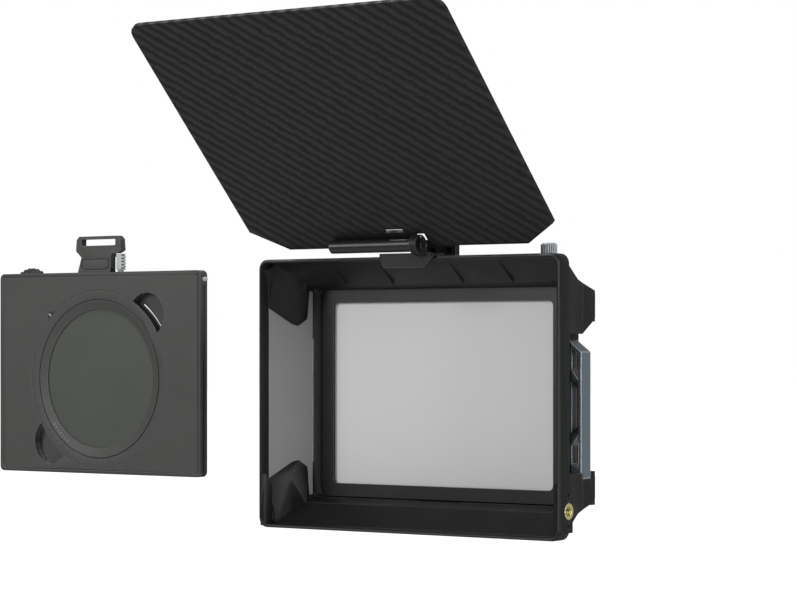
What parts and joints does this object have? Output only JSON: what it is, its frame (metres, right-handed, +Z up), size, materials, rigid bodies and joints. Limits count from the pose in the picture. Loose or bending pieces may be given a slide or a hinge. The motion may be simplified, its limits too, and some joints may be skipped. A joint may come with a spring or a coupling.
{
  "type": "matte box",
  "caption": "Matte box: funnel hood with tilting top flag, filter stage with slide-in filter, split lens clamp, and a variable-density filter tray standing beside it.",
  "frame": {"origin": "on the optical axis at the rear face of the lens clamp", "axes": "+X to the right seen from in front, -Y towards the scene, +Z up"},
  "size_m": [0.4194, 0.1815, 0.2547],
  "materials": {
    "black_nylon": "fine satin grain, black",
    "wheel_nylon": "satin black",
    "grey_panel": "smooth satin grey",
    "blue_grey_anodised": "satin blue-grey anodised",
    "tray_anodised": "matt dark grey anodised",
    "brass": "turned",
    "dark_steel": "black anodised or blackened",
    "bright_steel": "bright",
    "clear_filter": "clear optical glass with a faint haze",
    "dark_filter": "dark neutral polarising glass",
    "foam": "matt foam tape",
    "carbon_panel": "matt twill carbon sheet",
    "pale_nylon": "satin pale grey"
  },
  "bodies": {
    "box": {"hood_shell": "black_nylon", "side_panel_left": "grey_panel", "side_panel_right": "grey_panel", "brass_insert_left": "brass", "brass_insert_right": "brass", "side_frame_left": "blue_grey_anodised", "side_frame_right": "blue_grey_anodised", "stage_front": "black_nylon", "stage_rear": "black_nylon", "stage_screw_1": "dark_steel", "stage_screw_2": "dark_steel", "stage_screw_3": "dark_steel", "stage_screw_4": "dark_steel", "clamp_ring": "black_nylon", "ring_screw_1": "dark_steel", "ring_screw_2": "dark_steel", "ring_screw_3": "dark_steel", "ring_screw_4": "dark_steel", "hinge_base": "black_nylon", "hinge_pin": "dark_steel", "ear_screw_1": "bright_steel", "ear_screw_2": "bright_steel"},
    "filter": {"filter_frame": "dark_steel", "filter_tab": "black_nylon", "filter_glass": "clear_filter", "filter_seal": "foam", "filter_clip_left": "bright_steel", "filter_clip_right": "bright_steel"},
    "flag": {"flag_panel": "carbon_panel", "hinge_barrel": "dark_steel", "flag_screw_1": "dark_steel", "flag_screw_2": "dark_steel"},
    "clamp_screw": {"clamp_screw": "dark_steel"},
    "lock_knob": {"lock_knob": "blue_grey_anodised"},
    "tray": {"tray_body": "tray_anodised", "tray_cover": "tray_anodised", "tray_handle": "tray_anodised", "cover_screw_1": "dark_steel", "cover_screw_2": "dark_steel", "cover_screw_3": "dark_steel", "cover_screw_4": "dark_steel", "rear_polariser": "dark_filter", "rear_retaining_ring": "dark_steel", "handle_screw_left": "dark_steel", "handle_screw_right": "dark_steel", "wheel_axle": "bright_steel", "idler_pin": "bright_steel", "index_pin": "bright_steel", "latch_spring": "bright_steel"},
    "turning_filter": {"filter_ring": "tray_anodised", "front_polariser": "dark_filter"},
    "idler": {"idler_gear": "brass"},
    "thumb_wheel": {"thumb_wheel": "wheel_nylon"},
    "latch": {"tray_latch": "pale_nylon"}
  },
  "joints": [
    {"name": "filter_slide", "type": "slide", "parent": "box", "child": "filter", "axis": [0, 0, 1], "range_m": [0, 0.118]},
    {"name": "flag_tilt", "type": "hinge", "parent": "box", "child": "flag", "pos_m": [-0.0165, -0.0807, 0.07575], "axis": [1, 0, 0], "range_deg": [-25, 135]},
    {"name": "clamp_screw_turn", "type": "hinge", "parent": "box", "child": "clamp_screw", "pos_m": [0.012, -0.0107, 0.066], "axis": [1, 0, 0], "range_deg": [-360, 360]},
    {"name": "lock_knob_turn", "type": "hinge", "parent": "box", "child": "lock_knob", "pos_m": [0.049, -0.0162, 0.07], "axis": [0, 0, 1], "range_deg": [-360, 360]},
    {"name": "tray_lift", "type": "slide", "parent": "box", "child": "tray", "axis": [0, 0, 1], "range_m": [0, 0.12]},
    {"name": "filter_turn", "type": "hinge", "parent": "tray", "child": "turning_filter", "pos_m": [-0.2489, -0.0257, 0.006], "axis": [0, 1, 0], "range_deg": [-45, 45]},
    {"name": "idler_turn", "type": "hinge", "parent": "tray", "child": "idler", "pos_m": [-0.29101, -0.0257, 0.04352], "axis": [0, 1, 0], "range_deg": [-378, 378]},
    {"name": "wheel_turn", "type": "hinge", "parent": "tray", "child": "thumb_wheel", "pos_m": [-0.304, -0.0257, 0.05509], "axis": [0, 1, 0], "range_deg": [-198.95, 198.95]},
    {"name": "latch_press", "type": "slide", "parent": "tray", "child": "latch", "axis": [-1, 0, 0], "range_m": [0, 0.003], "stiffness_N_per_m": 300, "springref_m": -0.001, "deforming": ["latch_spring"]}
  ],
  "couplings": [
    {"joint": "idler_turn", "follows": "filter_turn", "ratio": -8.4},
    {"joint": "wheel_turn", "follows": "filter_turn", "ratio": 4.4211}
  ]
}
